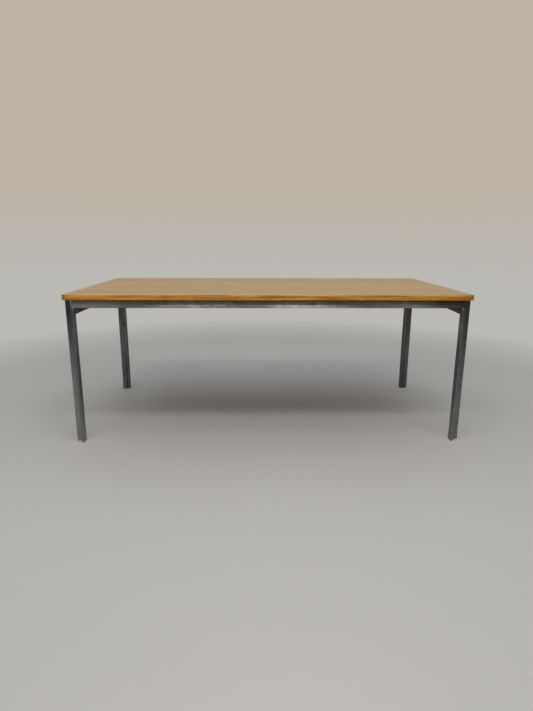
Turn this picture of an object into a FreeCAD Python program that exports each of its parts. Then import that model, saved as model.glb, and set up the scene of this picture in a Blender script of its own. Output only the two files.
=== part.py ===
import FreeCAD, Part
import os
import re
import Sketcher

# Work table: a veneered top with solid lippings, screwed to a welded frame of flat bars and angles.
# Millimetres. +X is along the table, the front is at -Y, +Z is up, and the origin is on the floor
# under the middle of the top.

SIZES = {
    "top_length": 1800,
    "top_width": 886,
    "top_thickness": 24,
    "table_height": 690,
    "lipping_thickness": 12,
    "veneer_thickness": 1,
    "arris_radius": 1.5,
    "end_overhang": 0.5,
    "side_overhang": 5,
    "bar_width": 35,
    "bar_thickness": 10,
    "fin_width": 30,
    "fin_thickness": 10,
    "edge_radius": 1,
    "rail_height": 35,
    "rail_flange": 25,
    "rail_thickness": 5,
    "root_radius": 5,
    "toe_radius": 2,
    "gusset_length": 70,
    "gusset_drop": 31,
    "gusset_thickness": 4,
    "gusset_snipe": 6,
    "gusset_nose": 2,
    "screw_diameter": 6,
    "screw_head_flats": 10,
    "screw_head_height": 4,
    "screw_cover": 9,
    "screw_tip_clearance": 1,
    "pilot_clearance": 0.2,
    "rail_hole_clearance": 0.8,
    "screw_end_margin": 75,
    "long_rail_screws": 4,
    "end_rail_screws": 2,
}

# Places that several pieces share, as formulas of the driving sizes.
FRAME_HEIGHT = "(table_height - top_thickness)"
FRAME_END = "(top_length / 2 - end_overhang)"
FRAME_SIDE = "(top_width / 2 - side_overhang)"
BAR_OUTSIDE = f"({FRAME_END} - fin_width)"
BAR_INSIDE = f"({BAR_OUTSIDE} - bar_thickness)"
LEG_BACK = f"({FRAME_SIDE} - bar_width)"
RAIL_BOTTOM = f"({FRAME_HEIGHT} - rail_height)"
FLANGE_UNDERSIDE = f"({FRAME_HEIGHT} - rail_thickness)"
LONG_RAIL_LENGTH = f"(2 * {BAR_INSIDE})"
END_RAIL_LENGTH = f"(2 * {LEG_BACK})"
SCREW_LINE = "((rail_thickness + root_radius + rail_flange) / 2)"
SCREW_TIP = "(table_height - screw_cover)"
CORE_LENGTH = "(top_length - 2 * lipping_thickness)"
CORE_WIDTH = "(top_width - 2 * lipping_thickness)"

SIDES = {"front": 0, "right_end": 90, "back": 180, "left_end": 270}
UP = FreeCAD.Vector(0, 0, 1)

doc = FreeCAD.newDocument("work_table")
pieces = []


def make_sheet():
    sheet = doc.addObject("Spreadsheet::Sheet", "dims")
    for row, (alias, value) in enumerate(SIZES.items(), start=1):
        sheet.set(f"A{row}", alias)
        sheet.set(f"B{row}", str(value))
        sheet.setAlias(f"B{row}", alias)
    doc.recompute()
    return sheet


def formula(text):
    """Names the sheet before each size, and leaves functions such as cos( as they are."""
    return re.sub(r"\b[a-z_]+\b(?!\()", lambda word: "dims." + word.group(), text)


def bind(target, prop, text):
    target.setExpression(prop, formula(text))


def place(target, x, y, z, turn=0):
    target.Placement = FreeCAD.Placement(FreeCAD.Vector(), FreeCAD.Rotation(UP, turn))
    for axis, text in (("x", x), ("y", y), ("z", z)):
        bind(target, f"Placement.Base.{axis}", text)


# Sketched bodies

def new_body(label):
    body = doc.addObject("PartDesign::Body", label)
    body.Label = label
    return body


def outline(body, plane_role, corners):
    """A closed outline through corners, each a pair of formulas measured from the body's origin."""
    plane = next(item for item in body.Origin.OriginFeatures if item.Role == plane_role)
    sketch = body.newObject("Sketcher::SketchObject", body.Name + "_outline")
    sketch.AttachmentSupport = [(plane, "")]
    sketch.MapMode = "FlatFace"
    count = len(corners)
    start = FreeCAD.Vector(2, 1, 0)
    centre = FreeCAD.Vector(2, 2, 0)
    turn = FreeCAD.Rotation(UP, 360 / count)
    for _ in corners:
        end = centre + turn.multVec(start - centre)
        sketch.addGeometry(Part.LineSegment(start, end), False)
        start = end
    for line in range(count):
        sketch.addConstraint(Sketcher.Constraint("Coincident", line, 2, (line + 1) % count, 1))
    for line, (across, up) in enumerate(corners):
        measure(sketch, line, "DistanceX", -2, across)
        measure(sketch, line, "DistanceY", -1, up)
    return sketch


def measure(sketch, line, kind, axis, text):
    """Ties the start of a line to an axis of the sketch, or to a distance along the other one."""
    if text == "0":
        sketch.addConstraint(Sketcher.Constraint("PointOnObject", line, 1, axis))
        return
    corner = sketch.getPoint(line, 1)
    value = corner.x if kind == "DistanceX" else corner.y
    index = sketch.addConstraint(Sketcher.Constraint(kind, -1, 1, line, 1, value))
    bind(sketch, f"Constraints[{index}]", text)


def rectangle(width, depth):
    return [("0", "0"), (width, "0"), (width, depth), ("0", depth)]


def pad(body, sketch, length, reverse=False):
    feature = body.newObject("PartDesign::Pad", body.Name + "_pad")
    feature.Profile = sketch
    feature.Reversed = reverse
    bind(feature, "Length", length)
    body.Tip = feature
    doc.recompute()
    return feature


def round_edges(body, radius, wanted):
    """Rounds the edges of the body's last feature for which wanted(edge) is true."""
    base = body.Tip
    names = [f"Edge{n}" for n, edge in enumerate(base.Shape.Edges, start=1) if wanted(edge)]
    feature = body.newObject("PartDesign::Fillet", body.Name + "_rounding")
    feature.Base = (base, names)
    bind(feature, "Radius", radius)
    body.Tip = feature
    doc.recompute()


def runs_along(edge, axis):
    first, last = (vertex.Point for vertex in (edge.Vertexes[0], edge.Vertexes[-1]))
    return (last - first).normalize().isEqual(axis, 1e-6) or (first - last).normalize().isEqual(axis, 1e-6)


def stays_at(edge, axis, value):
    return all(abs(getattr(vertex.Point, axis) - value) < 1e-6 for vertex in edge.Vertexes)


def keep(piece):
    pieces.append(piece)
    return piece


def place_on_side(body, side, end_distance, side_distance, length, z):
    """Sets a piece that runs along one side of the table with its local X along that side."""
    x, y = {
        "front": (f"-{length} / 2", f"-{side_distance}"),
        "right_end": (end_distance, f"-{length} / 2"),
        "back": (f"{length} / 2", side_distance),
        "left_end": (f"-{end_distance}", f"{length} / 2"),
    }[side]
    place(body, x, y, z, SIDES[side])


# Screws and the holes that they pass through

def screw_places():
    """The screws' places: a row on the flange of each rail."""
    long_span = f"({LONG_RAIL_LENGTH} - 2 * screw_end_margin)"
    end_span = f"({END_RAIL_LENGTH} - 2 * screw_end_margin)"
    long_count = int(sheet.long_rail_screws)
    end_count = int(sheet.end_rail_screws)
    places = []
    for sign in ("-", ""):
        for n in range(long_count):
            along = f"{long_span} * ({n} / (long_rail_screws - 1) - 1 / 2)"
            places.append((along, f"{sign}({FRAME_SIDE} - {SCREW_LINE})"))
        for n in range(end_count):
            along = f"{end_span} * ({n} / (end_rail_screws - 1) - 1 / 2)"
            places.append((f"{sign}({FRAME_END} - {SCREW_LINE})", along))
    return places


def upright_bars(name, kind, radius, bottom, height):
    """A bar at each screw's place, with its radius given as a property of its kind and a formula."""
    bars = []
    for x, y in screw_places():
        bar = doc.addObject(kind, name)
        bind(bar, *radius)
        bind(bar, "Height", height)
        place(bar, x, y, bottom)
        bars.append(bar)
    return bars


def round_bars(name, diameter, bottom, height):
    return upright_bars(name, "Part::Cylinder", ("Radius", f"{diameter} / 2"), bottom, height)


def joined(label, shapes):
    group = doc.addObject("Part::MultiFuse", label)
    group.Label = label
    group.Shapes = shapes
    return group


def drilled(label, blank, drill):
    cut = doc.addObject("Part::Cut", label)
    cut.Label = label
    cut.Base = blank
    cut.Tool = drill
    return cut


def make_screws():
    """Hexagon-head wood screws, each through a rail's level flange into the core."""
    shanks = round_bars("shank", "screw_diameter", FLANGE_UNDERSIDE, f"{SCREW_TIP} - {FLANGE_UNDERSIDE}")
    corner_radius = ("Circumradius", "screw_head_flats / 2 / cos(30)")
    head_bottom = f"{FLANGE_UNDERSIDE} - screw_head_height"
    heads = upright_bars("head", "Part::Prism", corner_radius, head_bottom, "screw_head_height")
    keep(joined("top_screws", shanks + heads))


def make_rail_drill():
    diameter = "(screw_diameter + rail_hole_clearance)"
    return joined("rail_drill", round_bars("rail_hole", diameter, RAIL_BOTTOM, "2 * rail_height"))


def make_pilot_drill():
    diameter = "(screw_diameter + pilot_clearance)"
    depth = f"{SCREW_TIP} + screw_tip_clearance - {FLANGE_UNDERSIDE}"
    return joined("pilot_drill", round_bars("pilot_hole", diameter, FLANGE_UNDERSIDE, depth))


# The top

def make_board(label, thickness, bottom):
    board = new_body(label)
    pad(board, outline(board, "XY_Plane", rectangle(CORE_LENGTH, CORE_WIDTH)), thickness)
    place(board, f"-{CORE_LENGTH} / 2", f"-{CORE_WIDTH} / 2", bottom)
    return board


def make_top_panel(pilot_drill):
    core_thickness = "top_thickness - 2 * veneer_thickness"
    core = make_board("core_blank", core_thickness, f"{FRAME_HEIGHT} + veneer_thickness")
    keep(drilled("core_board", core, pilot_drill))
    keep(make_board("top_veneer", "veneer_thickness", "table_height - veneer_thickness"))
    balancer = make_board("balancer_blank", "veneer_thickness", FRAME_HEIGHT)
    keep(drilled("bottom_veneer", balancer, pilot_drill))


def make_lipping(side):
    """End lippings run through to the corners, and the long ones are set between them."""
    at_end = side.endswith("end")
    length = "top_width" if at_end else CORE_LENGTH
    lipping = new_body(side + "_lipping")
    section = outline(lipping, "YZ_Plane", rectangle("lipping_thickness", "top_thickness"))
    pad(lipping, section, length)
    if at_end:
        inside = float(sheet.lipping_thickness)
        round_edges(lipping, "arris_radius", lambda edge: not stays_at(edge, "y", inside))
    else:
        along = FreeCAD.Vector(1, 0, 0)
        round_edges(lipping, "arris_radius", lambda edge: runs_along(edge, along) and stays_at(edge, "y", 0))
    place_on_side(lipping, side, "top_length / 2", "top_width / 2", length, FRAME_HEIGHT)
    keep(lipping)


# The steel frame

def make_flat(label, width, depth, x, y):
    """An upright flat bar from the floor to the underside of the top."""
    flat = new_body(label)
    pad(flat, outline(flat, "XY_Plane", rectangle(width, depth)), FRAME_HEIGHT)
    round_edges(flat, "edge_radius", lambda edge: runs_along(edge, UP))
    place(flat, x, y, "0")
    keep(flat)


def make_leg(front, left):
    """A flat bar with its narrow edge to the front or back, and a fin outwards from its inner end."""
    corner = ("front_" if front else "back_") + ("left_" if left else "right_")
    bar_x = f"-{BAR_OUTSIDE}" if left else BAR_INSIDE
    bar_y = f"-{FRAME_SIDE}" if front else LEG_BACK
    make_flat(corner + "leg_bar", "bar_thickness", "bar_width", bar_x, bar_y)
    fin_x = f"-{FRAME_END}" if left else BAR_OUTSIDE
    fin_y = f"-{LEG_BACK} - fin_thickness" if front else LEG_BACK
    make_flat(corner + "leg_fin", "fin_width", "fin_thickness", fin_x, fin_y)


def make_rail(side, rail_drill):
    """A rolled angle: one flange upright on the outside, the other level against the top."""
    length = END_RAIL_LENGTH if side.endswith("end") else LONG_RAIL_LENGTH
    rail = new_body(side + "_rail_blank")
    shelf = "(rail_height - rail_thickness)"
    section = [("0", "0"), ("rail_thickness", "0"), ("rail_thickness", shelf),
               ("rail_flange", shelf), ("rail_flange", "rail_height"), ("0", "rail_height")]
    pad(rail, outline(rail, "YZ_Plane", section), length)
    round_rail(rail)
    place_on_side(rail, side, FRAME_END, FRAME_SIDE, length, RAIL_BOTTOM)
    keep(drilled(side + "_rail", rail, rail_drill))


def round_rail(rail):
    wall = float(sheet.rail_thickness)
    flange = float(sheet.rail_flange)
    height = float(sheet.rail_height)
    along = FreeCAD.Vector(1, 0, 0)

    def edge_at(*corners):
        def wanted(edge):
            at_corner = any(stays_at(edge, "y", y) and stays_at(edge, "z", z) for y, z in corners)
            return runs_along(edge, along) and at_corner
        return wanted

    round_edges(rail, "root_radius", edge_at((wall, height - wall)))
    round_edges(rail, "toe_radius", edge_at((wall, 0), (flange, height - wall)))
    round_edges(rail, "edge_radius", edge_at((0, 0), (0, height)))


def make_gusset(front, left):
    """A triangular plate under the rail's upright flange, its inner corner cut off clear of the weld."""
    gusset = new_body(("front_" if front else "back_") + ("left_" if left else "right_") + "gusset")
    corners = [("0", "0"), ("gusset_nose", "0"),
               ("gusset_length", "(gusset_drop - gusset_nose)"), ("gusset_length", "gusset_drop"),
               ("gusset_snipe", "gusset_drop"), ("0", "(gusset_drop - gusset_snipe)")]
    pad(gusset, outline(gusset, "XZ_Plane", corners), "gusset_thickness", reverse=True)
    x = f"-{BAR_INSIDE}" if left else BAR_INSIDE
    flange_back = f"({FRAME_SIDE} - rail_thickness)"
    y = f"-{flange_back}" if front else flange_back
    if front and left:
        y += " - gusset_thickness"
    if not front and not left:
        y += " + gusset_thickness"
    place(gusset, x, y, f"{RAIL_BOTTOM} - gusset_drop", 0 if left else 180)
    keep(gusset)


def check_model():
    doc.recompute()
    for item in doc.Objects:
        if "Invalid" in item.State or "Error" in item.State:
            raise RuntimeError(f"{item.Label} failed: {item.State}")
    for piece in pieces:
        shape = piece.Shape
        if shape.isNull() or not shape.isValid() or not shape.Solids:
            raise RuntimeError(f"{piece.Label} has no valid solid")


def write_pieces():
    os.makedirs("parts", exist_ok=True)
    for piece in pieces:
        piece.Shape.exportStep(f"parts/{piece.Label}.step")
        print(piece.Label, len(piece.Shape.Solids), round(piece.Shape.Volume))


sheet = make_sheet()
make_top_panel(make_pilot_drill())
for side_name in SIDES:
    make_lipping(side_name)
for is_front in (True, False):
    for is_left in (True, False):
        make_leg(is_front, is_left)
        make_gusset(is_front, is_left)
rail_drill_bars = make_rail_drill()
for side_name in SIDES:
    make_rail(side_name, rail_drill_bars)
make_screws()
check_model()
write_pieces()
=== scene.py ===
import math

import bmesh
import bpy
from mathutils import Matrix, Vector


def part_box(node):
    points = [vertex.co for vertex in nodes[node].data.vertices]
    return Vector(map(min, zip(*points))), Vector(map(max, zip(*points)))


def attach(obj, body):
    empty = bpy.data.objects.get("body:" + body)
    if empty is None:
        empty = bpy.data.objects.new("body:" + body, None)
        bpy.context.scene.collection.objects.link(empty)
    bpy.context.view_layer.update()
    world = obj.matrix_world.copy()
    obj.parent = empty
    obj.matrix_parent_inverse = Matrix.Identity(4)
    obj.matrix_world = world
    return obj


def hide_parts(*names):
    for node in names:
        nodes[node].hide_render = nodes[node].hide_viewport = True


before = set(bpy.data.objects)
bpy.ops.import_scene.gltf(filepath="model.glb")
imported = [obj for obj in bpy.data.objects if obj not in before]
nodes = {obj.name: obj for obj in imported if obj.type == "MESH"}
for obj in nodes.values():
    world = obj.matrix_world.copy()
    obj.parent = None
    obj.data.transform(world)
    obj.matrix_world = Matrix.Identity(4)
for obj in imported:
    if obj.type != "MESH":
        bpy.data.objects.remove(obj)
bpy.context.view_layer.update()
print("frame loaded:", len(nodes), "nodes")

bpy.context.scene.view_settings.view_transform = "Standard"


# material helpers

noiseRange = (0.3, 0.7)      # where most of a noise's values lie
noiseMiddle = 0.5
facing = (0.6, 0.9)          # the share of its normal at which a face looks along an axis, partly and fully
sideFrom = 0.2               # legs, gussets and the rails' ends lie further from the middle than this


def newMaterial(name):
    mat = bpy.data.materials.new(name)
    mat.use_nodes = True
    return mat, mat.node_tree, mat.node_tree.nodes["Principled BSDF"]


def fill(tree, socket, value):
    if isinstance(value, bpy.types.NodeSocket):
        tree.links.new(value, socket)
    else:
        socket.default_value = value


def addNode(tree, kind, settings, inputs):
    node = tree.nodes.new(kind)
    for key, value in settings.items():
        setattr(node, key, value)
    for key, value in inputs.items():
        fill(tree, node.inputs[key], value)
    return node


def calc(tree, operation, a, b=0.0):
    return addNode(tree, "ShaderNodeMath", {"operation": operation}, {0: a, 1: b}).outputs[0]


def absolute(tree, value):
    return calc(tree, "ABSOLUTE", value)


def times(tree, first, *others):
    for other in others:
        first = calc(tree, "MULTIPLY", first, other)
    return first


def weigh(tree, *parts):     # adds up some tones, each by its share
    total = None
    for tone, share in parts:
        part = calc(tree, "MULTIPLY", tone, share)
        total = part if total is None else calc(tree, "ADD", total, part)
    return total


def span(tree, value, low, high, toLow=0.0, toHigh=1.0):
    inputs = {"Value": value, "From Min": low, "From Max": high, "To Min": toLow, "To Max": toHigh}
    return addNode(tree, "ShaderNodeMapRange", {"clamp": True}, inputs).outputs[0]


def plateau(tree, value, rise, fall):     # rises over one stretch and falls over the next
    return times(tree, span(tree, value, *rise), span(tree, value, *reversed(fall)))


# near is for the left or front pieces, and far for the right or back ones
def eitherSide(tree, place, near=0.0, far=1.0):
    return span(tree, place, -sideFrom, sideFrom, near, far)


def placeCoords(tree):
    return addNode(tree, "ShaderNodeTexCoord", {}, {}).outputs["Object"]


def splitCoords(tree, coords):
    return addNode(tree, "ShaderNodeSeparateXYZ", {}, {0: coords}).outputs


def joinCoords(tree, x, y, z):
    return addNode(tree, "ShaderNodeCombineXYZ", {}, {0: x, 1: y, 2: z}).outputs[0]


def stretch(tree, coords, scale):
    return addNode(tree, "ShaderNodeMapping", {}, {"Vector": coords, "Scale": scale}).outputs[0]


def distance(tree, coords):
    return addNode(tree, "ShaderNodeVectorMath", {"operation": "LENGTH"}, {0: coords}).outputs["Value"]


def surface(tree, output):
    return addNode(tree, "ShaderNodeNewGeometry", {}, {}).outputs[output]


def facingAxis(tree, normal, axis):
    return span(tree, absolute(tree, normal[axis]), *facing)


# perMetre is one number, or one each for x, y and z
def noise(tree, coords, perMetre, detail=4.0, rough=0.55, warp=0.0):
    if isinstance(perMetre, float):
        perMetre = (perMetre,) * 3
    inputs = {"Vector": stretch(tree, coords, perMetre), "Scale": 1.0}
    inputs.update({"Detail": detail, "Roughness": rough, "Distortion": warp})
    return addNode(tree, "ShaderNodeTexNoise", {}, inputs).outputs["Fac"]


def ramp(tree, fac, places, colors):
    node = addNode(tree, "ShaderNodeValToRGB", {}, {"Fac": fac})
    points = node.color_ramp.elements
    while len(points) < len(places):
        points.new(0.5)
    for point, place, color in zip(points, places, colors):
        point.position = place
        point.color = (*color, 1.0)
    return node.outputs["Color"]


def toneRamp(tree, fac, places, look):     # from dark to light, by way of middle if there is one
    colors = [look[key] for key in ("dark", "middle", "light") if key in look]
    return ramp(tree, fac, places, colors)


def mixColor(tree, fac, a, b):
    node = tree.nodes.new("ShaderNodeMix")
    node.data_type = "RGBA"
    for index, value in ((0, fac), (6, a), (7, b)):     # the sockets that this type of mix uses
        if isinstance(value, tuple):
            value = (*value, 1.0)
        fill(tree, node.inputs[index], value)
    return node.outputs[2]


def mixShader(tree, fac, a, b):
    return addNode(tree, "ShaderNodeMixShader", {}, {0: fac, 1: a, 2: b}).outputs[0]


def bump(tree, height, strength, depth):
    inputs = {"Height": height, "Strength": strength, "Distance": depth}
    return addNode(tree, "ShaderNodeBump", {}, inputs).outputs[0]


def coat(tree, shader, color, rough, relief):
    for key, value in (("Base Color", color), ("Roughness", rough), ("Normal", relief)):
        fill(tree, shader.inputs[key], value)


def dress(names, mat):
    for name in names:
        slots = nodes[name].data.materials
        slots.clear()
        slots.append(mat)


# mesh helpers

axisX, axisY, axisZ = Vector((1, 0, 0)), Vector((0, 1, 0)), Vector((0, 0, 1))


def addRing(bm, turns, centre, radius, across, up):
    ring = []
    for k in range(turns):
        angle = 2 * math.pi * k / turns
        ring.append(bm.verts.new(centre + radius * (across * math.cos(angle) + up * math.sin(angle))))
    return ring


def joinRings(bm, rings):
    faces = []
    for near, far in zip(rings, rings[1:]):
        for k in range(len(near)):
            after = (k + 1) % len(near)
            faces.append(bm.faces.new((near[k], near[after], far[after], far[k])))
    return faces


def addPiece(name, bm, mats):
    mesh = bpy.data.meshes.new(name)
    bm.to_mesh(mesh)
    bm.free()
    for mat in mats:
        mesh.materials.append(mat)
    piece = bpy.data.objects.new(name, mesh)
    bpy.context.scene.collection.objects.link(piece)
    return piece


# oak finishes

oak = {
    "pore": (0.190, 0.082, 0.016),
    "glue": (0.120, 0.055, 0.015),
}

veneer = {
    "dark": (0.262, 0.144, 0.042),
    "middle": (0.378, 0.226, 0.066),
    "light": (0.490, 0.316, 0.106),
    "tones": (0.26, 0.52, 0.80),             # where those three lie
    "figureShare": 0.26,                     # what the tone is made up of
    "streakShare": 0.62,
    "leafShare": 0.16,
    "leafWidth": 0.172,                      # book-matched leaves, their joints along the table
    "jointWidth": 0.0006,
    "jointShare": 0.35,
    "rimShare": 0.60,                        # the glue line at the lippings
    "heartPlace": 0.55,                      # the heart line's place across a leaf, as a share of its width
    "heartDepth": 0.035,                     # how deep under the leaf it lies
    "heartSlope": 0.018,                     # how much deeper a metre further along
    "heartWander": 0.050,                    # how far it strays sideways
    "heartDrift": 0.045,                     # and in depth
    "ringsPerMetre": 150.0,
    "ringJitter": 0.9,
    "yearPlaces": (0.0, 0.25, 0.80, 1.0),    # the tones of one year's growth
    "yearTones": (0.15, 0.55, 0.95, 0.20),
    "earlyWood": 0.55,                       # the part of a year with most pores
    "poreShares": (0.70, 0.12),              # at its start and after it
    "poreRange": (0.56, 0.72),
    "slowGrain": (1.3, 3.9, 1.0),            # grains in a metre along, across and down
    "fineGrain": (6.0, 90.0, 1.0),
    "streakGrain": (1.1, 34.0, 1.0),
    "poreGrain": (45.0, 1500.0, 1.0),
    "smearGrain": (4.0, 6.4, 1.6),
    "rough": (0.29, 0.41),                   # least and most
    "bump": (0.25, 0.0004),                  # strength and depth
}


def makeTopVeneer(rim):
    mat, tree, shader = newMaterial("oakVeneer")
    coords = placeCoords(tree)
    x, y = splitCoords(tree, coords)[:2]
    width = veneer["leafWidth"]
    leaf = calc(tree, "FLOOR", calc(tree, "DIVIDE", y, width))
    chance = addNode(tree, "ShaderNodeTexWhiteNoise", {"noise_dimensions": "1D"}, {"W": leaf})
    fold = calc(tree, "PINGPONG", y, width)     # each leaf mirrors the one beside it

    # growth rings round a heart line that wanders under each leaf
    slow = noise(tree, joinCoords(tree, x, fold, 0.0), veneer["slowGrain"], detail=2.0)
    drift = calc(tree, "SUBTRACT", slow, noiseMiddle)
    aside = calc(tree, "SUBTRACT", fold, veneer["heartPlace"] * width)
    aside = calc(tree, "ADD", aside, times(tree, drift, veneer["heartWander"]))
    depth = weigh(tree, (drift, veneer["heartDrift"]), (x, veneer["heartSlope"]))
    depth = calc(tree, "ADD", depth, veneer["heartDepth"])
    radius = distance(tree, joinCoords(tree, aside, depth, 0.0))
    fine = noise(tree, coords, veneer["fineGrain"], rough=0.6)
    year = calc(tree, "FRACT", weigh(tree, (radius, veneer["ringsPerMetre"]), (fine, veneer["ringJitter"])))
    figure = ramp(tree, year, veneer["yearPlaces"], [(tone,) * 3 for tone in veneer["yearTones"]])

    streaks = noise(tree, coords, veneer["streakGrain"], detail=5.0, rough=0.6)
    tone = weigh(tree, (figure, veneer["figureShare"]), (streaks, veneer["streakShare"]),
                 (chance.outputs["Value"], veneer["leafShare"]))
    color = toneRamp(tree, tone, veneer["tones"], veneer)
    pores = span(tree, noise(tree, coords, veneer["poreGrain"], detail=3.0), *veneer["poreRange"])
    pores = times(tree, pores, span(tree, year, 0.0, veneer["earlyWood"], *veneer["poreShares"]))
    color = mixColor(tree, pores, color, oak["pore"])

    joint = calc(tree, "PINGPONG", y, width / 2)
    margin = calc(tree, "MINIMUM", calc(tree, "SUBTRACT", rim.x, absolute(tree, x)),
                  calc(tree, "SUBTRACT", rim.y, absolute(tree, y)))
    for away, share in ((joint, veneer["jointShare"]), (margin, veneer["rimShare"])):
        color = mixColor(tree, span(tree, away, 0.0, veneer["jointWidth"], share, 0.0), color, oak["glue"])

    smears = noise(tree, coords, veneer["smearGrain"], detail=5.0, rough=0.6)
    rough = span(tree, smears, *noiseRange, *veneer["rough"])
    coat(tree, shader, color, rough, bump(tree, pores, *veneer["bump"]))
    return mat


lipping = {
    "dark": (0.350, 0.145, 0.007),
    "middle": (0.556, 0.252, 0.012),
    "light": (0.715, 0.360, 0.034),
    "tones": (0.40, 0.51, 0.62),
    "streakLength": 0.095,
    "streakWidth": 0.0056,
    "broadGrain": 0.55,                      # how many times finer than such a streak
    "narrowGrain": 2.2,
    "poreGrain": 7.0,
    "broadShare": 0.72,
    "narrowShare": 0.30,
    "paler": -0.026,                         # the long ones are paler towards the left
    "poreRange": (0.58, 0.75),
    "poreShare": 0.70,
    "fadedTones": (0.36, 0.50, 0.66),        # their upper faces are worn pale with the veneer
    "fadedFacing": (0.75, 0.98),
    "rubbed": (0.820, 0.480, 0.100),         # and so are their lower arrises
    "rubbedFacing": (-0.15, -0.55),
    "rubbedShare": 0.80,
    "rough": (0.38, 0.48),
    "bump": (0.30, 0.0003),
    "gloss": 0.38,
}

endGrain = {
    "dark": (0.235, 0.086, 0.003),
    "light": (0.490, 0.212, 0.008),
    "tones": (0.2, 0.7),
    "arcs": {"Scale": 70.0, "Distortion": 1.5, "Detail": 3.0, "Detail Scale": 2.0},
    "arcShare": 0.35,
    "dotsPerMetre": 1900.0,
    "dotShare": 0.50,
}


def makeEndGrain(tree, coords):
    rings = {"wave_type": "RINGS", "rings_direction": "Y"}
    arcs = addNode(tree, "ShaderNodeTexWave", rings, {"Vector": coords, **endGrain["arcs"]}).outputs["Fac"]
    dots = noise(tree, coords, endGrain["dotsPerMetre"], detail=2.0)
    tone = weigh(tree, (arcs, endGrain["arcShare"]), (dots, endGrain["dotShare"]))
    return toneRamp(tree, tone, endGrain["tones"], endGrain)


def makeLipping(name, alongX):
    mat, tree, shader = newMaterial(name)
    coords = placeCoords(tree)
    normal = splitCoords(tree, surface(tree, "Normal"))

    def grain(finer, **settings):
        along, across = finer / lipping["streakLength"], finer / lipping["streakWidth"]
        perMetre = (along, across, across) if alongX else (across, along, across)
        return noise(tree, coords, perMetre, **settings)

    broad = grain(lipping["broadGrain"], detail=3.0, rough=0.6, warp=0.4)
    narrow = grain(lipping["narrowGrain"], rough=0.65)
    tone = weigh(tree, (broad, lipping["broadShare"]), (narrow, lipping["narrowShare"]))
    if alongX:
        x = splitCoords(tree, coords)[0]
        tone = calc(tree, "ADD", tone, times(tree, x, lipping["paler"]))
    color = toneRamp(tree, tone, lipping["tones"], lipping)
    faded = toneRamp(tree, tone, lipping["fadedTones"], veneer)
    color = mixColor(tree, span(tree, normal[2], *lipping["fadedFacing"]), color, faded)
    arris = span(tree, normal[2], *lipping["rubbedFacing"], 0.0, lipping["rubbedShare"])
    color = mixColor(tree, arris, color, lipping["rubbed"])
    pores = grain(lipping["poreGrain"], detail=2.0)
    pores = span(tree, pores, *lipping["poreRange"], 0.0, lipping["poreShare"])
    color = mixColor(tree, pores, color, oak["pore"])
    if not alongX:     # these run through to the front and back
        color = mixColor(tree, facingAxis(tree, normal, 1), color, makeEndGrain(tree, coords))
    rough = span(tree, broad, *noiseRange, *lipping["rough"])
    coat(tree, shader, color, rough, bump(tree, pores, *lipping["bump"]))
    shader.inputs["Specular IOR Level"].default_value = lipping["gloss"]
    return mat


backing = {
    "dark": (0.240, 0.125, 0.050),
    "light": (0.460, 0.280, 0.140),
    "tones": (0.38, 0.62),
    "streakGrain": (1.4, 46.0, 1.0),
    "streakShare": 0.7,
    "blotchGrain": 3.2,
    "blotchShare": 0.3,
    "rough": (0.56, 0.70),
    "bump": (0.20, 0.0004),
}


def makeBacking():
    mat, tree, shader = newMaterial("balancingVeneer")
    coords = placeCoords(tree)
    streaks = noise(tree, coords, backing["streakGrain"], detail=5.0, rough=0.62)
    blotch = noise(tree, coords, backing["blotchGrain"], detail=3.0)
    tone = weigh(tree, (streaks, backing["streakShare"]), (blotch, backing["blotchShare"]))
    color = toneRamp(tree, tone, backing["tones"], backing)
    rough = span(tree, blotch, *noiseRange, *backing["rough"])
    coat(tree, shader, color, rough, bump(tree, streaks, *backing["bump"]))
    return mat


chipboard = {
    "dark": (0.270, 0.165, 0.075),
    "light": (0.520, 0.370, 0.200),
    "tones": (0.0, 1.0),
    "chipsPerMetre": 260.0,
    "chipShape": (0.5, 0.6, 1.6),
    "rough": (0.80, 0.90),
    "bump": (0.50, 0.0006),
}


def makeChipboard():
    mat, tree, shader = newMaterial("chipboardCore")
    coords = stretch(tree, placeCoords(tree), chipboard["chipShape"])
    inputs = {"Vector": coords, "Scale": chipboard["chipsPerMetre"]}
    chips = addNode(tree, "ShaderNodeTexVoronoi", {}, inputs).outputs
    chance = splitCoords(tree, chips["Color"])[0]
    color = toneRamp(tree, chance, chipboard["tones"], chipboard)
    rough = span(tree, chance, 0.0, 1.0, *chipboard["rough"])
    coat(tree, shader, color, rough, bump(tree, chips["Distance"], *chipboard["bump"]))
    return mat


dress(["top_veneer"], makeTopVeneer(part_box("top_veneer")[1]))
dress(["front_lipping", "back_lipping"], makeLipping("oakLippingLong", True))
dress(["left_end_lipping", "right_end_lipping"], makeLipping("oakLippingEnd", False))
dress(["bottom_veneer"], makeBacking())
dress(["core_board"], makeChipboard())
print("top dressed")


# steel finishes

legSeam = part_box("back_right_leg_fin")[0]     # bar and fin meet here, on a leg's inner side
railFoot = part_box("front_rail")[0].z

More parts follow.
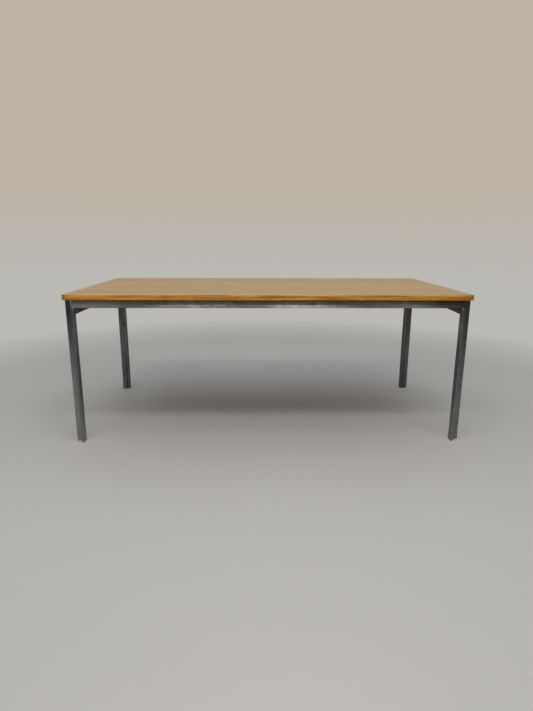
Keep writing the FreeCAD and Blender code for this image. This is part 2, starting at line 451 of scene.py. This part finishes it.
steel = {
    "warm": (0.150, 0.118, 0.090),           # thin brown stain
    "scale": (0.050, 0.041, 0.034),          # heat scale beside the welds, and the tone of the painted shade on the legs
    "blued": (0.027, 0.046, 0.088),          # the same on the left half of the frame
    "ground": (0.420, 0.420, 0.420),         # rubbed bright, and the painted reflection of the floor on the front legs
    "scuffAndReflection": (0.620, 0.620, 0.615),          # rubbed bright
    "tones": (0.37, 0.50, 0.64),             # where dark, middle and light lie
    "toneShares": {"mottle": 0.18, "patches": 0.16, "streaks": 0.18, "flecks": 0.34, "drawn": 0.06,
                   "speckle": 0.08},
    "roughShares": {"patches": 0.6, "speckle": 0.4},
    "reliefShares": {"drawn": 0.6, "mottle": 0.4},
    "rough": (0.39, 0.59),
    "bump": (0.16, 0.0006),
    "brush": 1.0,                            # how far the drawn lines spread a highlight across them
    "stainGrain": 6.5,
    "stainRange": (0.52, 0.74),
    "stainShare": 0.45,
    "heatAndShadeShare": 0.80,
    "bareAndPaintedLightShare": 0.45,
    "backShadeLeft": 0.16,                        # painted shade darkens the back legs
    "backShadeRight": 0.31,
    "cleanEnd": 0.13,                        # but not on their bars' narrow edges
    "groundReach": (-0.003, 0.002),          # up from the rail's lower edge
    "groundShare": 0.75,
    "edgeRadius": 0.0022,                    # how near to an edge its wear shows
    "edgeSamples": 4,
    "edgeTurn": (0.97, 0.80),                # cosine of the turn where wear starts, and where it is full
    "edgeSpots": (0.40, 0.60),
    "edgeShare": 0.75,
}

steelGrain = {     # spots in a metre along a bar and across it
    "mottle": {"along": 17.0, "across": 17.0, "detail": 6.0, "rough": 0.62},
    "patches": {"along": 5.0, "across": 40.0, "detail": 4.0, "rough": 0.60},
    "streaks": {"along": 3.0, "across": 190.0, "detail": 4.0, "rough": 0.60},
    "flecks": {"along": 52.0, "across": 95.0, "detail": 3.0, "rough": 0.60},
    "drawn": {"along": 9.0, "across": 900.0, "detail": 3.0, "rough": 0.60},
    "speckle": {"along": 420.0, "across": 420.0, "detail": 3.0, "rough": 0.70},
}

railTone = {
    "dark": (0.050, 0.055, 0.058),
    "middle": (0.096, 0.103, 0.108),
    "light": (0.184, 0.195, 0.202),
    "edge": (0.060, 0.060, 0.060),           # painted shade: its rolled toes are dark
    "along": "X",
    "heatAndShade": (0.665, 0.770),                  # darker and browner towards the right end
    "bareAndPaintedLight": (-0.560, -0.700),                # painted light: lighter towards the left end
}

endRailTone = {**railTone, "along": "Y", "heatAndShade": (0.37, 0.41), "bareAndPaintedLight": (-0.37, -0.41)}

barTone = {
    "dark": (0.140, 0.145, 0.152),
    "middle": (0.258, 0.264, 0.272),
    "light": (0.420, 0.422, 0.424),
    "edge": (0.420, 0.420, 0.420),           # bare metal on worn edges
    "along": "Z",
    # darker at the top: heat scale and painted shade under the top's overhang
    "heatAndShade": (0.62, 0.76),
    "floorReflection": {"left": 0.25, "right": 0.22, "reach": (0.46, 0.05)},     # painted reflection of the floor on the front legs, growing downwards
    "broadSideShade": {"rise": (0.10, 0.24), "fall": (0.42, 0.56), "shares": (0.20, 0.56)},     # painted shade on the broad sides, darkest at mid height
    "burn": {"rise": (0.562, 0.590), "fall": (0.612, 0.628),     # beside each gusset
             "grain": 240.0, "spots": (0.44, 0.64), "share": 0.70},
}

finTone = {
    "dark": (0.165, 0.172, 0.183),
    "middle": (0.350, 0.358, 0.370),
    "light": (0.520, 0.520, 0.520),
    "edge": (0.420, 0.420, 0.420),
    "along": "Z",
    # darker towards the top: painted shade under the top's overhang
    "heatAndShade": (0.12, 0.72),
    # painted reflection of the floor on the front legs
    "floorReflection": {"left": 0.56, "right": 0.06, "reach": (0.58, 0.30)},
}

gussetTone = {
    "dark": (0.015, 0.014, 0.012),
    "middle": (0.034, 0.032, 0.029),
    "light": (0.096, 0.091, 0.083),
    "edge": (0.016, 0.014, 0.012),           # dark, not worn
    "along": "X",
    "bareAndPaintedLight": (0.826, 0.890),                  # the right ones are paler towards the leg
    "rough": (0.60, 0.80),
}

seamWeld = {
    "bottom": 0.402,
    "top": 0.652,
    "width": 0.0062,
    "height": 0.0004,
}

seamDirt = {
    "scorch": 0.011,                         # a dark spot where the weld stops
    "scorchCore": 0.3,
    "scorchSquash": 0.7,                     # it is taller than wide
    "scorchDepth": 0.0005,
    "scorchShare": 0.85,
    "gapRim": 0.0008,                        # the open seam below it: a dark joint line with painted shade
    "gapWidth": 0.0046,
    "gapCore": 0.7,
    "gapDepth": (0.0015, 0.0025),
    "gapFull": 0.16,                         # darkest from this height down
    "gapShare": 0.93,
}


def seamScorch(tree, aside, depth, z):
    dirt = seamDirt
    below = times(tree, calc(tree, "SUBTRACT", z, seamWeld["bottom"]), dirt["scorchSquash"])
    deeper = span(tree, depth, dirt["scorchDepth"], 2 * dirt["scorchDepth"])     # puts other faces far away
    away = distance(tree, joinCoords(tree, aside, below, deeper))
    return span(tree, away, dirt["scorchCore"] * dirt["scorch"], dirt["scorch"], dirt["scorchShare"], 0.0)


def seamGapShade(tree, aside, depth, z):
    dirt = seamDirt
    core = dirt["gapCore"] * dirt["gapWidth"]
    line = plateau(tree, aside, (-dirt["gapRim"], 0.0), (core, dirt["gapWidth"]))
    outer = span(tree, depth, *dirt["gapDepth"], 1.0, 0.0)
    lower = span(tree, z, seamWeld["bottom"], dirt["gapFull"], 0.0, dirt["gapShare"])
    return times(tree, line, outer, lower)


def legScorchAndPaintedLight(tree, tone, color, coords):
    x, y, z = splitCoords(tree, coords)
    floorReflection = tone["floorReflection"]
    # painted reflection of the bright floor, lighter towards the feet of the front legs
    rubbed = times(tree, span(tree, z, *floorReflection["reach"]), eitherSide(tree, x, floorReflection["left"], floorReflection["right"]),
                   eitherSide(tree, y, 1.0, 0.0))
    color = mixColor(tree, rubbed, color, steel["scuffAndReflection"])
    # painted shade on the back legs
    backShade = times(tree, eitherSide(tree, x, steel["backShadeLeft"], steel["backShadeRight"]), eitherSide(tree, y))
    color = mixColor(tree, backShade, color, steel["scale"])
    aside = calc(tree, "SUBTRACT", absolute(tree, x), legSeam.x)
    depth = calc(tree, "SUBTRACT", absolute(tree, y), legSeam.y)
    color = mixColor(tree, seamScorch(tree, aside, depth, z), color, steel["scale"])
    # dark seam line, partly painted shade
    return mixColor(tree, seamGapShade(tree, aside, depth, z), color, gussetTone["edge"])


def barFaces(tree, tone, color, coords, normal):
    x, y, z = splitCoords(tree, coords)
    broad, narrow = facingAxis(tree, normal, 0), facingAxis(tree, normal, 1)
    sideShade, burn = tone["broadSideShade"], tone["burn"]
    # painted shade on the bars' broad sides, darkest at mid height
    sideShadeShare = span(tree, plateau(tree, z, sideShade["rise"], sideShade["fall"]), 0.0, 1.0, *sideShade["shares"])
    color = mixColor(tree, times(tree, sideShadeShare, broad), color, steel["scale"])
    spots = span(tree, noise(tree, coords, burn["grain"]), *burn["spots"], 0.0, burn["share"])
    burnt = times(tree, plateau(tree, z, burn["rise"], burn["fall"]), spots)
    color = mixColor(tree, burnt, color, gussetTone["dark"])
    clean = times(tree, narrow, eitherSide(tree, y, 0.0, steel["cleanEnd"]))
    color = mixColor(tree, clean, color, steel["scuffAndReflection"])
    low, high = (railFoot + up for up in steel["groundReach"])
    ground = times(tree, narrow, span(tree, z, low, high, 0.0, steel["groundShare"]))
    groundTone = mixColor(tree, span(tree, x, *railTone["heatAndShade"]), steel["ground"], steel["scale"])
    return mixColor(tree, ground, color, groundTone)


def makeSteel(name, tone):
    mat, tree, shader = newMaterial(name)
    coords = placeCoords(tree)
    place = splitCoords(tree, coords)
    flat = surface(tree, "Normal")
    axis = "XYZ".index(tone["along"])
    grain = {}
    for key, spots in steelGrain.items():
        perMetre = [spots["across"]] * 3
        perMetre[axis] = spots["along"]
        grain[key] = noise(tree, coords, perMetre, spots["detail"], spots["rough"])

    def blend(shares):
        return weigh(tree, *((grain[key], share) for key, share in shares.items()))

    color = toneRamp(tree, blend(steel["toneShares"]), steel["tones"], tone)
    stain = noise(tree, coords, steel["stainGrain"], detail=5.0, rough=0.6)
    stain = span(tree, stain, *steel["stainRange"], 0.0, steel["stainShare"])
    color = mixColor(tree, stain, color, steel["warm"])
    if "heatAndShade" in tone:
        # darker towards one end; on the legs this is painted shade under the top's overhang
        heatAndShade = span(tree, place[axis], *tone["heatAndShade"], 0.0, steel["heatAndShadeShare"])
        tint = mixColor(tree, eitherSide(tree, place[0]), steel["blued"], steel["scale"])
        color = mixColor(tree, heatAndShade, color, tint)
    if "bareAndPaintedLight" in tone:
        # lighter towards one end; on the rails this is painted light
        bareAndPaintedLight = span(tree, place[axis], *tone["bareAndPaintedLight"], 0.0, steel["bareAndPaintedLightShare"])
        color = mixColor(tree, bareAndPaintedLight, color, tone["light"])
    if "floorReflection" in tone:
        color = legScorchAndPaintedLight(tree, tone, color, coords)
    if "broadSideShade" in tone:
        color = barFaces(tree, tone, color, coords, splitCoords(tree, flat))

    # an edge is where the normal, taken as if it were rounded, turns away from the face's own
    samples = {"samples": steel["edgeSamples"]}
    rounded = addNode(tree, "ShaderNodeBevel", samples, {"Radius": steel["edgeRadius"]}).outputs[0]
    turn = addNode(tree, "ShaderNodeVectorMath", {"operation": "DOT_PRODUCT"}, {0: rounded, 1: flat})
    edgeWearAndShade = span(tree, turn.outputs["Value"], *steel["edgeTurn"], 0.0, steel["edgeShare"])
    edgeWearAndShade = times(tree, edgeWearAndShade, span(tree, grain["speckle"], *steel["edgeSpots"]))
    # worn bare edges on the legs, painted shade on the rails' rolled toes
    color = mixColor(tree, edgeWearAndShade, color, tone["edge"])

    rough = span(tree, blend(steel["roughShares"]), *noiseRange, *tone.get("rough", steel["rough"]))
    coat(tree, shader, color, rough, bump(tree, blend(steel["reliefShares"]), *steel["bump"]))
    shader.inputs["Metallic"].default_value = 1.0
    shader.inputs["Anisotropic"].default_value = steel["brush"]
    tangent = addNode(tree, "ShaderNodeTangent", {"direction_type": "RADIAL", "axis": tone["along"]}, {})
    fill(tree, shader.inputs["Tangent"], tangent.outputs[0])
    return mat


dress(["front_rail", "back_rail"], makeSteel("railSteelLong", railTone))
dress(["left_end_rail", "right_end_rail"], makeSteel("railSteelEnd", endRailTone))
cornerTones = {"_leg_bar": ("legBarSteel", barTone), "_leg_fin": ("legFinSteel", finTone),
               "_gusset": ("gussetSteel", gussetTone)}
for ending, (finish, pieceTone) in cornerTones.items():
    dress([node for node in nodes if node.endswith(ending)], makeSteel(finish, pieceTone))
print("frame dressed")


# welds

weld = {
    "dark": (0.060, 0.053, 0.046),
    "light": (0.225, 0.207, 0.184),
    "tones": (0.36, 0.66),
    "blotchGrain": 90.0,
    "pitGrain": 700.0,
    "rough": (0.58, 0.42),
    "bump": (0.20, 0.0003),
    "leg": 0.0040,                           # fillet size
    "legRipple": 0.10,
    "bulge": 0.22,
    "sink": 0.0003,                          # how far the root lies inside the steel
    "edgeSink": 0.3,                         # share of that at a flat bead's edges
    "pitch": 0.0027,                         # one ripple
    "rippleDepth": 0.20,
    "ringsPerRipple": 4,
    "leastRings": 8,
    "arcSteps": 6,
    "taper": 0.0030,                         # length of the run-out at each end
    "taperEnd": 0.35,
    "backWidth": 0.0058,                     # the low bead behind each gusset
    "backHeight": 0.0013,
    "faceWidth": 0.0048,                     # the bead down each gusset's front
    "faceHeight": 0.0008,
    "faceInset": 0.0010,
}

weldGaps = {     # how far the beads stay away
    "plate": 0.002,                          # from a gusset's lower edge
    "flange": 0.003,                         # from a flange's free edge
    "tip": 0.004,                            # from the rail's lower edge and the gusset's inner end
    "under": 0.007,                          # from a shelf above, or from the rail
    "corner": 0.008,                         # from a corner where two beads would meet
    "plug": 0.009,                           # from the plug
}

plug = {     # fills the corner that is cut off each gusset
    "dark": (0.190, 0.184, 0.174),
    "light": (0.520, 0.510, 0.490),
    "radius": 0.0028,
    "inset": 0.0025,
    "rise": 0.0012,
    "steps": 4,
    "turns": 20,
}


def makeWeldSteel(name, look):
    mat, tree, shader = newMaterial(name)
    coords = placeCoords(tree)
    blotch = noise(tree, coords, weld["blotchGrain"], detail=5.0, rough=0.65)
    color = toneRamp(tree, blotch, weld["tones"], look)
    rough = span(tree, blotch, *noiseRange, *weld["rough"])
    pits = noise(tree, coords, weld["pitGrain"], detail=3.0)
    coat(tree, shader, color, rough, bump(tree, pits, *weld["bump"]))
    shader.inputs["Metallic"].default_value = 1.0
    return mat


def rippleScale(along, length):
    phase = along / weld["pitch"] % 1.0
    arch = math.sqrt(max(0.0, 1.0 - (2.0 * phase - 1.0) ** 2))
    ripple = 1.0 - weld["rippleDepth"] * (1.0 - arch)
    toEnd = min(along, length - along) / weld["taper"]
    return ripple, min(1.0, weld["taperEnd"] + (1.0 - weld["taperEnd"]) * toEnd)


def addBead(bm, start, end, section):
    length = (end - start).length
    count = max(weld["leastRings"], round(length / weld["pitch"] * weld["ringsPerRipple"]))
    rings = []
    for k in range(count + 1):
        centre = start.lerp(end, k / count)
        outline = section(*rippleScale(length * k / count, length))
        rings.append([bm.verts.new(centre + offset) for offset in outline])
    for side in joinRings(bm, rings):
        side.smooth = True
    bm.faces.new(rings[0])
    bm.faces.new(rings[-1])


def filletSection(sideA, sideB):
    middle = (sideA + sideB).normalized()

    def section(ripple, runOut):
        leg = weld["leg"] * runOut * (1.0 - weld["legRipple"] * (1.0 - ripple))
        points = [-weld["sink"] * (sideA + sideB)]
        for k in range(weld["arcSteps"] + 1):
            u = k / weld["arcSteps"]
            bulge = weld["bulge"] * leg * ripple * math.sin(math.pi * u)
            sunk = -weld["sink"] * (sideB * (1.0 - u) + sideA * u)
            points.append(sideA * leg * (1.0 - u) + sideB * leg * u + middle * bulge + sunk)
        return points
    return section


def flatSection(across, outward, width, height):
    def section(ripple, runOut):
        points = [-weld["sink"] * outward]
        for k in range(weld["arcSteps"] + 1):
            u = 2.0 * k / weld["arcSteps"] - 1.0
            crown = height * ripple * runOut * math.sqrt(max(0.0, 1.0 - u * u))
            rise = crown - weld["edgeSink"] * weld["sink"]
            points.append(across * (u * width / 2 * runOut) + outward * rise)
        return points
    return section


def addPlug(bm, back, front):
    outward = (front - back).normalized()
    outline = [(plug["radius"], back), (plug["radius"], front)]
    for k in range(1, plug["steps"]):
        angle = math.pi / 2 * k / plug["steps"]
        crown = front + outward * (plug["rise"] * math.sin(angle))
        outline.append((plug["radius"] * math.cos(angle), crown))
    rings = [addRing(bm, plug["turns"], centre, radius, axisX, axisZ) for radius, centre in outline]
    for face in [bm.faces.new(rings[0]), bm.faces.new(rings[-1])] + joinRings(bm, rings):
        face.smooth = True
        face.material_index = 1


def reach(box, axis):     # how far from the middle a piece starts and ends
    return sorted(abs(corner[axis]) for corner in box)


def makeCornerWelds(corner, mats):
    frontOrBack, leftOrRight = corner.split("_")
    sideX = -1 if leftOrRight == "left" else 1
    sideY = -1 if frontOrBack == "front" else 1
    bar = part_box(corner + "_leg_bar")
    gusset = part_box(corner + "_gusset")
    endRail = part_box(leftOrRight + "_end_rail")
    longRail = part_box(frontOrBack + "_rail")
    barIn, barOut = reach(bar, 0)
    legBack = reach(bar, 1)[0]
    shelfBack, railFace = reach(longRail, 1)
    gussetIn = reach(gusset, 0)[0]
    flangeBack, gussetFace = reach(gusset, 1)     # rail and gusset are flush at the back
    wall = railFace - flangeBack
    gussetFoot = gusset[0].z
    railBottom, railTop = longRail[0].z, longRail[1].z
    shelf = railTop - wall
    endShelfIn, endRailFace = reach(endRail, 0)
    endFlange = endRailFace - wall
    outX, outY, down = sideX * axisX, sideY * axisY, -axisZ
    inX, inY = -outX, -outY
    gap = weldGaps
    bm = bmesh.new()

    def at(x, y, z):
        return Vector((sideX * x, sideY * y, z))

    def upright(x, y, low, high, section):
        addBead(bm, at(x, y, low), at(x, y, high), section)

    # long rail and gusset against the bar's inner broad side
    inner = filletSection(inX, inY)
    upright(barIn, flangeBack, railBottom + gap["tip"], shelf - gap["under"], inner)
    upright(barIn, flangeBack, gussetFoot + gap["plate"], railBottom - gap["corner"], inner)
    addBead(bm, at(barIn, shelfBack + gap["flange"], shelf),
            at(barIn, flangeBack - gap["corner"], shelf), filletSection(inX, down))
    addBead(bm, at(gussetIn + gap["tip"], flangeBack, railBottom),
            at(barIn - gap["plug"], flangeBack, railBottom),
            flatSection(down, inY, weld["backWidth"], weld["backHeight"]))

    # end rail against the bar's inner edge
    upright(endFlange, legBack, railBottom + gap["flange"], shelf - gap["under"], inner)
    addBead(bm, at(endShelfIn + gap["flange"], legBack, shelf),
            at(endFlange - gap["corner"], legBack, shelf), filletSection(inY, down))

    # bar to fin, and the gusset's outer face
    upright(barOut, legBack, seamWeld["bottom"], seamWeld["top"],
            flatSection(outX, inY, seamWeld["width"], seamWeld["height"]))
    upright(barIn - weld["faceInset"], gussetFace, gussetFoot + gap["plate"], railBottom - gap["under"],
            flatSection(inX, outY, weld["faceWidth"], weld["faceHeight"]))
    plugX, plugZ = barIn - plug["inset"], railBottom - plug["inset"]
    addPlug(bm, at(plugX, flangeBack, plugZ), at(plugX, gussetFace, plugZ))

    bmesh.ops.recalc_face_normals(bm, faces=bm.faces)
    beads = addPiece(corner + "_welds", bm, mats)
    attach(beads, "root")


weldMats = [makeWeldSteel("weldSteel", weld), makeWeldSteel("plugSteel", plug)]
for cornerName in ("front_left", "front_right", "back_left", "back_right"):
    makeCornerWelds(cornerName, weldMats)
print("welds laid")


# screws

screw = {
    "dark": (0.300, 0.290, 0.265),
    "light": (0.560, 0.545, 0.500),
    "tones": (0.35, 0.65),
    "bloomGrain": 260.0,
    "pitGrain": 1500.0,
    "rough": (0.48, 0.34),
    "bump": (0.12, 0.0002),
    "apart": 0.03,                           # no two screws are nearer than this
    "shankSlack": 1.05,
    "turns": 48,
    "headInset": 0.0002,
    "crown": 0.95,                           # flat circle on the head, as a share of its width across flats
    "crownInner": 0.86,
    "chamfer": math.radians(30),
    "washer": 0.0006,
    "washerShare": 0.97,
    "pointLength": 0.006,
    "pointShare": 0.15,
}


def makeScrewSteel():
    mat, tree, shader = newMaterial("zincScrew")
    coords = placeCoords(tree)
    bloom = noise(tree, coords, screw["bloomGrain"], rough=0.6)
    color = toneRamp(tree, bloom, screw["tones"], screw)
    rough = span(tree, bloom, *noiseRange, *screw["rough"])
    pits = noise(tree, coords, screw["pitGrain"], detail=2.0)
    coat(tree, shader, color, rough, bump(tree, pits, *screw["bump"]))
    shader.inputs["Metallic"].default_value = 1.0
    return mat


def screwPoints():     # the points of each plain screw in the frame
    groups = []
    for vertex in nodes["top_screws"].data.vertices:
        for group in groups:
            if (vertex.co.xy - group[0].xy).length < screw["apart"]:
                group.append(vertex.co)
                break
        else:
            groups.append([vertex.co])
    return groups


def addScrew(bm, group):
    lows = [min(point[k] for point in group) for k in range(3)]
    highs = [max(point[k] for point in group) for k in range(3)]
    centre = Vector(((lows[0] + highs[0]) / 2, (lows[1] + highs[1]) / 2, 0.0))
    away = [(point.xy - centre.xy).length for point in group]
    shank = min(away)
    seat = min(point.z for point, r in zip(group, away) if r < screw["shankSlack"] * shank)
    flats = (highs[1] - lows[1]) / 2
    crown = flats * screw["crown"]
    washer = flats * screw["washerShare"]
    headFace = lows[2] + screw["headInset"]     # the screws point up, so this is below

    def hexRadius(angle):
        return flats / math.cos((angle - math.pi / 6) % (math.pi / 3) - math.pi / 6)

    def chamferHeight(angle):
        return headFace + (hexRadius(angle) - crown) * math.tan(screw["chamfer"])

    def ring(radius, height):
        points = []
        for k in range(screw["turns"]):
            angle = 2 * math.pi * k / screw["turns"]
            r = radius(angle) if callable(radius) else radius
            h = height(angle) if callable(height) else height
            points.append(bm.verts.new(centre + Vector((r * math.cos(angle), r * math.sin(angle), h))))
        return points

    rings = [
        ring(screw["crownInner"] * crown, headFace),
        ring(crown, headFace),
        ring(hexRadius, chamferHeight),
        ring(hexRadius, seat - screw["washer"]),
        ring(washer, seat - screw["washer"]),
        ring(washer, seat),
        ring(shank, seat),
        ring(shank, highs[2] - screw["pointLength"]),
        ring(screw["pointShare"] * shank, highs[2]),
    ]
    bm.faces.new(rings[0])
    bm.faces.new(rings[-1])
    joinRings(bm, rings)


def makeScrews():
    bm = bmesh.new()
    groups = screwPoints()
    for group in groups:
        addScrew(bm, group)
    bmesh.ops.recalc_face_normals(bm, faces=bm.faces)
    screws = addPiece("hex_screws", bm, [makeScrewSteel()])
    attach(screws, "root")
    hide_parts("top_screws")
    print("screws:", len(groups))


makeScrews()


# studio

studio = {
    "floorRadius": 3.6,
    "floorRings": 4,
    "coveRadius": 1.2,
    "coveSteps": 16,
    "wallTop": 4.8,
    "turns": 96,
    "paint": (0.470, 0.465, 0.453),
    "paintRough": 0.55,
    "paintGloss": 0.20,
    "wallGlow": (0.500, 0.486, 0.456),       # what the eye and the gloss see of the wall
    "wallWarm": (0.508, 0.451, 0.384),       # the same, higher up
    "warmReach": (0.45, 1.55),
    "fadeReach": (1.9, 3.1),                 # the floor fades into that tone this far from the table
    "rearReach": (0.0, 1.0),                 # the gloss sees it behind the table only
}


def makePaint():
    mat, tree, shader = newMaterial("studioPaint")
    shader.inputs["Base Color"].default_value = (*studio["paint"], 1.0)
    shader.inputs["Roughness"].default_value = studio["paintRough"]
    shader.inputs["Specular IOR Level"].default_value = studio["paintGloss"]
    x, y, z = splitCoords(tree, placeCoords(tree))
    ray = addNode(tree, "ShaderNodeLightPath", {}, {}).outputs
    glossy = calc(tree, "MAXIMUM", ray["Is Glossy Ray"], ray["Is Transmission Ray"])
    glossy = times(tree, glossy, span(tree, y, *studio["rearReach"]))
    seen = calc(tree, "MAXIMUM", ray["Is Camera Ray"], glossy)
    faded = span(tree, distance(tree, joinCoords(tree, x, y, 0.0)), *studio["fadeReach"])
    tone = mixColor(tree, span(tree, z, *studio["warmReach"]), studio["wallGlow"], studio["wallWarm"])
    glow = addNode(tree, "ShaderNodeEmission", {}, {"Color": tone}).outputs[0]
    clear = addNode(tree, "ShaderNodeBsdfTransparent", {}, {}).outputs[0]
    inside = mixShader(tree, times(tree, seen, faded), shader.outputs[0], glow)
    bothSides = mixShader(tree, surface(tree, "Backfacing"), inside, clear)     # clear from below
    fill(tree, tree.nodes["Material Output"].inputs["Surface"], bothSides)
    return mat


def makeStudio():
    flat, cove = studio["floorRadius"], studio["coveRadius"]
    profile = [(flat * (k + 1) / studio["floorRings"], 0.0) for k in range(studio["floorRings"])]
    for k in range(1, studio["coveSteps"] + 1):
        angle = math.pi / 2 * k / studio["coveSteps"]
        profile.append((flat + cove * math.sin(angle), cove - cove * math.cos(angle)))
    profile.append((flat + cove, studio["wallTop"]))
    bm = bmesh.new()
    turns = studio["turns"]
    rings = [addRing(bm, turns, height * axisZ, radius, axisX, axisY) for radius, height in profile]
    bm.faces.new(rings[0])
    joinRings(bm, rings[::-1])     # from the outside in, so that the faces look at the table
    for face in bm.faces:
        face.smooth = True
    addPiece("studioSweep", bm, [makePaint()])


lamps = {
    "height": 3.1,
    "color": (1.0, 0.965, 0.92),
    "keyForward": -2.20,
    "keySize": (3.2, 0.5),
    "keyPower": 20.0,
    "rowPlaces": (-1.80, -0.70, 0.40, 1.50),     # along the table
    "rowForward": -1.90,
    "rowSize": (0.48, 0.25),
    "rowPower": 7.0,
    "glintForward": -0.98,                       # steep, so that the top's overhang shades half of the rail
    "glintSize": (0.48, 0.10),
    "glintPowers": (44.0, 120.0, 210.0, 66.0),
    "glintColor": (1.0, 0.84, 0.66),
    "aimInward": 0.6,                            # share of a lamp's own place along the table
    "aimHeight": 0.4,
}


def makeLamp(name, x, forward, size, power, color):
    data = bpy.data.lights.new(name, "AREA")
    data.shape = "RECTANGLE"
    data.size, data.size_y = size
    data.energy = power
    data.color = color
    lamp = bpy.data.objects.new(name, data)
    lamp.location = (x, forward, lamps["height"])
    aim = Vector((lamps["aimInward"] * x, 0.0, lamps["aimHeight"])) - lamp.location
    lamp.rotation_euler = aim.to_track_quat("-Z", "Y").to_euler()
    bpy.context.scene.collection.objects.link(lamp)
    return lamp


def makeLamps():
    color = lamps["color"]
    for number, (x, glintPower) in enumerate(zip(lamps["rowPlaces"], lamps["glintPowers"])):
        makeLamp("rowLamp%d" % number, x, lamps["rowForward"], lamps["rowSize"], lamps["rowPower"], color)
        glint = makeLamp("glintCard%d" % number, x, lamps["glintForward"], lamps["glintSize"], glintPower,
                         lamps["glintColor"])
        glint.visible_diffuse = False     # a card for the gloss alone
    makeLamp("keyLamp", 0.0, lamps["keyForward"], lamps["keySize"], lamps["keyPower"], color)


sky = {
    "color": (0.95, 0.97, 1.0),
    "strength": 1.0,
}


def makeSky():
    world = bpy.data.worlds.new("studioSky")
    world.use_nodes = True
    tree = world.node_tree
    seen = addNode(tree, "ShaderNodeLightPath", {}, {}).outputs["Is Camera Ray"]
    back = tree.nodes["Background"]
    fill(tree, back.inputs["Color"], mixColor(tree, seen, sky["color"], studio["wallWarm"]))
    back.inputs["Strength"].default_value = sky["strength"]
    bpy.context.scene.world = world


view = {
    "location": (-0.0570, -2.5813, 0.9377),
    "yaw": 0.02072,                          # radians, to the right of +Y
    "pitch": 0.23823,                        # radians, downwards
    "roll": 0.00366,
    "lens": 24.845,                          # millimetres
    "sensor": 36.0,                          # its long side
}


def makeCamera():
    data = bpy.data.cameras.new("camera")
    data.lens = view["lens"]
    data.sensor_width = view["sensor"]
    camera = bpy.data.objects.new("camera", data)
    turn = Matrix.Rotation(-view["yaw"], 4, "Z")
    tip = Matrix.Rotation(math.pi / 2 - view["pitch"], 4, "X")
    lean = Matrix.Rotation(view["roll"], 4, "Z")
    camera.matrix_world = Matrix.Translation(view["location"]) @ turn @ tip @ lean
    bpy.context.scene.collection.objects.link(camera)
    bpy.context.scene.camera = camera


makeStudio()
makeLamps()
makeSky()
makeCamera()
print("studio ready")
